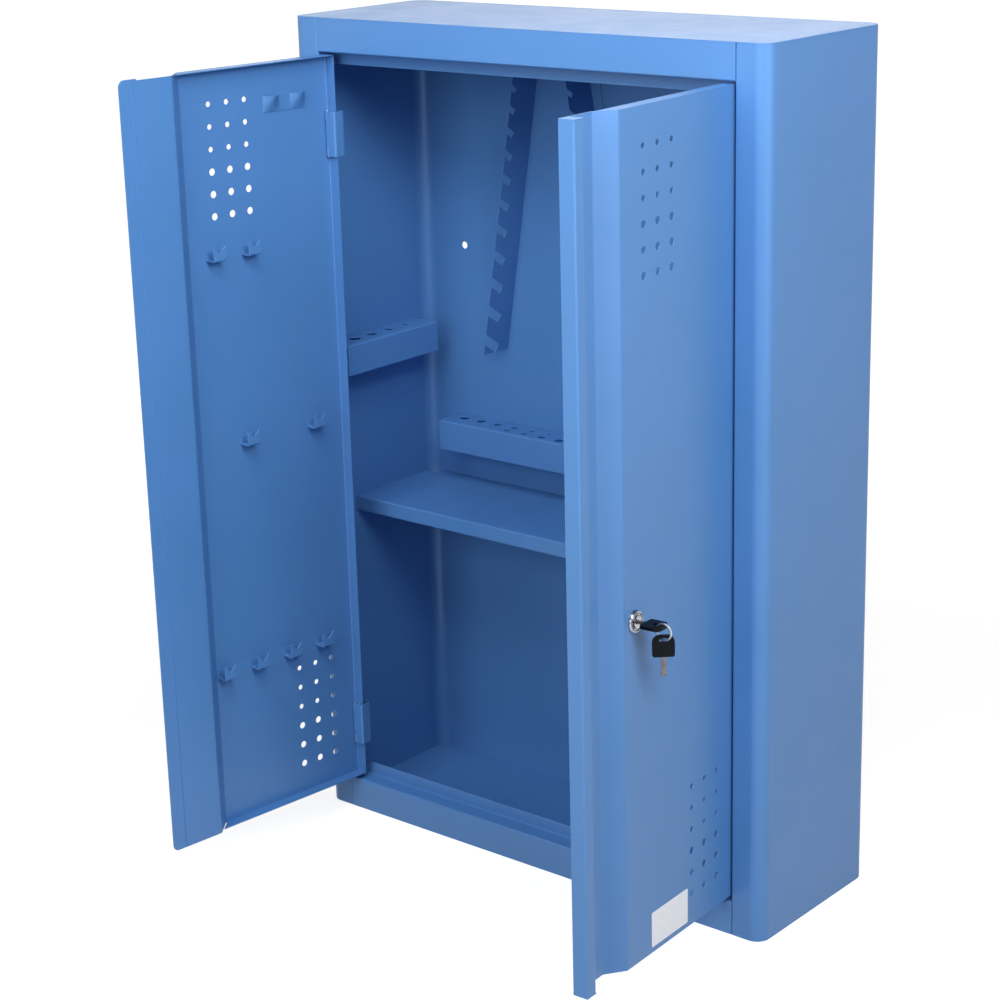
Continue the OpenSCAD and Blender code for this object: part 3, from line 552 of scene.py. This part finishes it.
def makeStage(look):
    material, shader = newMaterial("paperSweep",
                                   {"Base Color": linearColour(look["paper"]), "Roughness": 0.9})
    place = addNode(material, "TexCoord").outputs["Object"]
    away = addNode(material, "VectorMath", {"operation": "LENGTH"}, {0: place})
    near, far = look["shadowReach"]
    low, high = look["glow"]
    lift = addNode(material, "MapRange", {"From Min": near, "From Max": far, "To Min": low, "To Max": high},
                   {"Value": away.outputs["Value"]})
    glow = addNode(material, "Emission", {"Color": white}, {"Strength": lift.outputs["Result"]})
    rays = addNode(material, "LightPath")
    seen = addNode(material, "Math", {"operation": "MAXIMUM"},
                   {0: rays.outputs["Is Camera Ray"], 1: rays.outputs["Is Glossy Ray"]})
    both = addNode(material, "AddShader", {}, {0: shader.outputs["BSDF"], 1: glow.outputs["Emission"]})
    pick = addNode(material, "MixShader", {},
                   {0: seen.outputs["Value"], 1: shader.outputs["BSDF"], 2: both.outputs["Shader"]})
    linkInputs(material, material.node_tree.nodes["Material Output"], {"Surface": pick.outputs["Shader"]})
    bm = bmesh.new()
    bmesh.ops.create_grid(bm, x_segments=1, y_segments=1, size=look["halfWidth"])
    floor = addMesh("floor", bm, material)


makeStage(stageLook)

# soft boxes: where they stand, what they face, their size in metres and their power in watts
lamps = {
    "overhead": {"place": (0.3, -1.0, 1.75), "aim": (0, -0.2, 0.6), "size": (1.2, 0.6), "power": 14.5},
    "rightSide": {"place": (1.9, -0.7, 1.7), "aim": (0.3, -0.2, 0.5), "size": (1.0, 1.0), "power": 10.3},
    "front": {"place": (0.2, -2.6, 1.3), "aim": (0, -0.2, 0.5), "size": (1.4, 1.2), "power": 23},
    "rear": {"place": (-0.3, 1.2, 1.9), "aim": (0, -0.1, 0.9), "size": (1.6, 0.8), "power": 7.7},
    "horizon": {"place": (-1.7, 2.2, 1.3), "aim": (0, -0.1, 0.9), "size": (1.8, 0.5), "power": 4.5},
    "left": {"place": (-1.2, -1.5, 1.9), "aim": (0, -0.1, 0.6), "size": (0.8, 0.8), "power": 9},
    "rightHigh": {"place": (1.2, -0.9, 1.5), "aim": (0.2, -0.2, 0.8), "size": (0.6, 0.6), "power": 14},
    "rightLow": {"place": (2.3, -0.8, 0.6), "aim": (0.3, -0.1, 0.4), "size": (1.0, 1.0), "power": 8},
}


def makeLamps(lamps):
    for name, lamp in lamps.items():
        data = bpy.data.lights.new(name, "AREA")
        data.shape = "RECTANGLE"
        data.size, data.size_y = lamp["size"]
        data.energy = lamp["power"]
        light = addObject(name, data)
        light.location = lamp["place"]
        toward = Vector(lamp["aim"]) - Vector(lamp["place"])
        light.rotation_euler = toward.to_track_quat("-Z", "Y").to_euler()


makeLamps(lamps)

# Cameras see a white world, and mirrors see a white horizon under a dark ceiling. Between the ceiling's two
# limits, which are how steeply a ray rises, the white fades into the dark.
worldLook = {"fill": 0.015, "ceiling": 0.06, "ceilingFrom": 0.38, "ceilingTo": 0.5}


def makeWorld(look):
    world = bpy.data.worlds.new("studio")
    bpy.context.scene.world = world
    world.use_nodes = True
    direction = addNode(world, "TexCoord").outputs["Generated"]
    upward = addNode(world, "SeparateXYZ", {}, {0: direction})
    ceiling = addNode(world, "MapRange", {"From Min": look["ceilingFrom"], "From Max": look["ceilingTo"],
                                          "To Min": 1.0, "To Max": look["ceiling"]},
                      {"Value": upward.outputs["Z"]})
    rays = addNode(world, "LightPath")
    fill = addNode(world, "Background", {"Color": white, "Strength": look["fill"]})
    mirrored = addNode(world, "Background", {"Color": white}, {"Strength": ceiling.outputs["Result"]})
    paper = addNode(world, "Background", {"Color": white, "Strength": 1.0})
    glossy = addNode(world, "MixShader", {}, {0: rays.outputs["Is Glossy Ray"], 1: fill.outputs["Background"],
                                              2: mirrored.outputs["Background"]})
    seen = addNode(world, "MixShader", {}, {0: rays.outputs["Is Camera Ray"], 1: glossy.outputs["Shader"],
                                            2: paper.outputs["Background"]})
    linkInputs(world, world.node_tree.nodes["World Output"], {"Surface": seen.outputs["Shader"]})


makeWorld(worldLook)
bpy.context.scene.view_settings.view_transform = "Standard"
print("camera, floor and lamps set")
